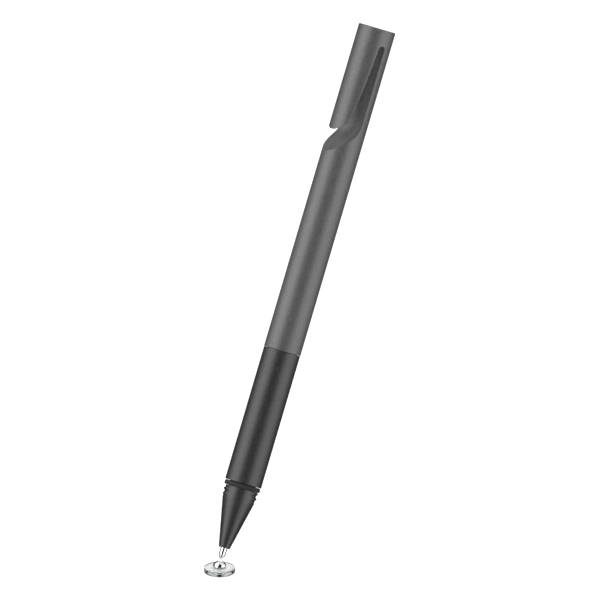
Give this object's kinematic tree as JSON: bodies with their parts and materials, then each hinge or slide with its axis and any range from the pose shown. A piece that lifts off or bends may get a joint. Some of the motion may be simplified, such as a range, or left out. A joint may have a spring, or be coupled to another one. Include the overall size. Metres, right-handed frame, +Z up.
{
  "type": "stylus pen",
  "caption": "Slim metal stylus pen with a swivelling clear disc tip on a sprung ball pin, and a pocket clip milled out of the closed upper end of its barrel.",
  "frame": {"origin": "centre of the underside of the tip's disc, which lies flat on the writing surface", "axes": "+Z up out of the writing surface, +X towards the side to which the pen leans, so the pen's own axis lies in the XZ plane at 27.6 degrees from +Z"},
  "size_m": [0.0619, 0.008, 0.1093],
  "materials": {
    "barrel_grey": "bead-blasted and anodised dark grey, satin",
    "grip_black": "bead-blasted and anodised black, satin",
    "nose_black": "turned and anodised black, satin",
    "black_rubber": "moulded, matte",
    "pin_chrome": "polished",
    "hub_chrome": "polished",
    "brass": "turned",
    "bush_plastic": "turned acetal",
    "spring_steel": "drawn wire",
    "clear_plastic": "clear, polished",
    "contact_film": "clear conductive film"
  },
  "bodies": {
    "handle": {"barrel": "barrel_grey", "barrel_coupling": "brass", "grip_sleeve": "grip_black", "nose_cone": "nose_black", "cap_o_ring": "black_rubber", "spring_plug": "brass", "tip_bush": "bush_plastic", "cushion_spring": "spring_steel"},
    "plunger": {"contact_plunger": "brass"},
    "pin": {"tip_pin": "pin_chrome"},
    "tip_disc": {"disc_hub": "hub_chrome", "disc": "clear_plastic", "contact_film": "contact_film"}
  },
  "joints": [
    {"name": "tip_cushion", "type": "slide", "parent": "handle", "child": "plunger", "axis": [0.4633, 0, 0.8862], "range_m": [0, 0.0005], "stiffness_N_per_m": 400, "deforming": ["cushion_spring"]},
    {"name": "pin_spin", "type": "hinge", "parent": "plunger", "child": "pin", "pos_m": [0, 0, 0.002], "axis": [0.4633, 0, 0.8862], "continuous": true},
    {"name": "disc_tilt", "type": "hinge", "parent": "pin", "child": "tip_disc", "pos_m": [0, 0, 0.002], "axis": [0, 1, 0], "range_deg": [-12.4, 67.6]}
  ]
}
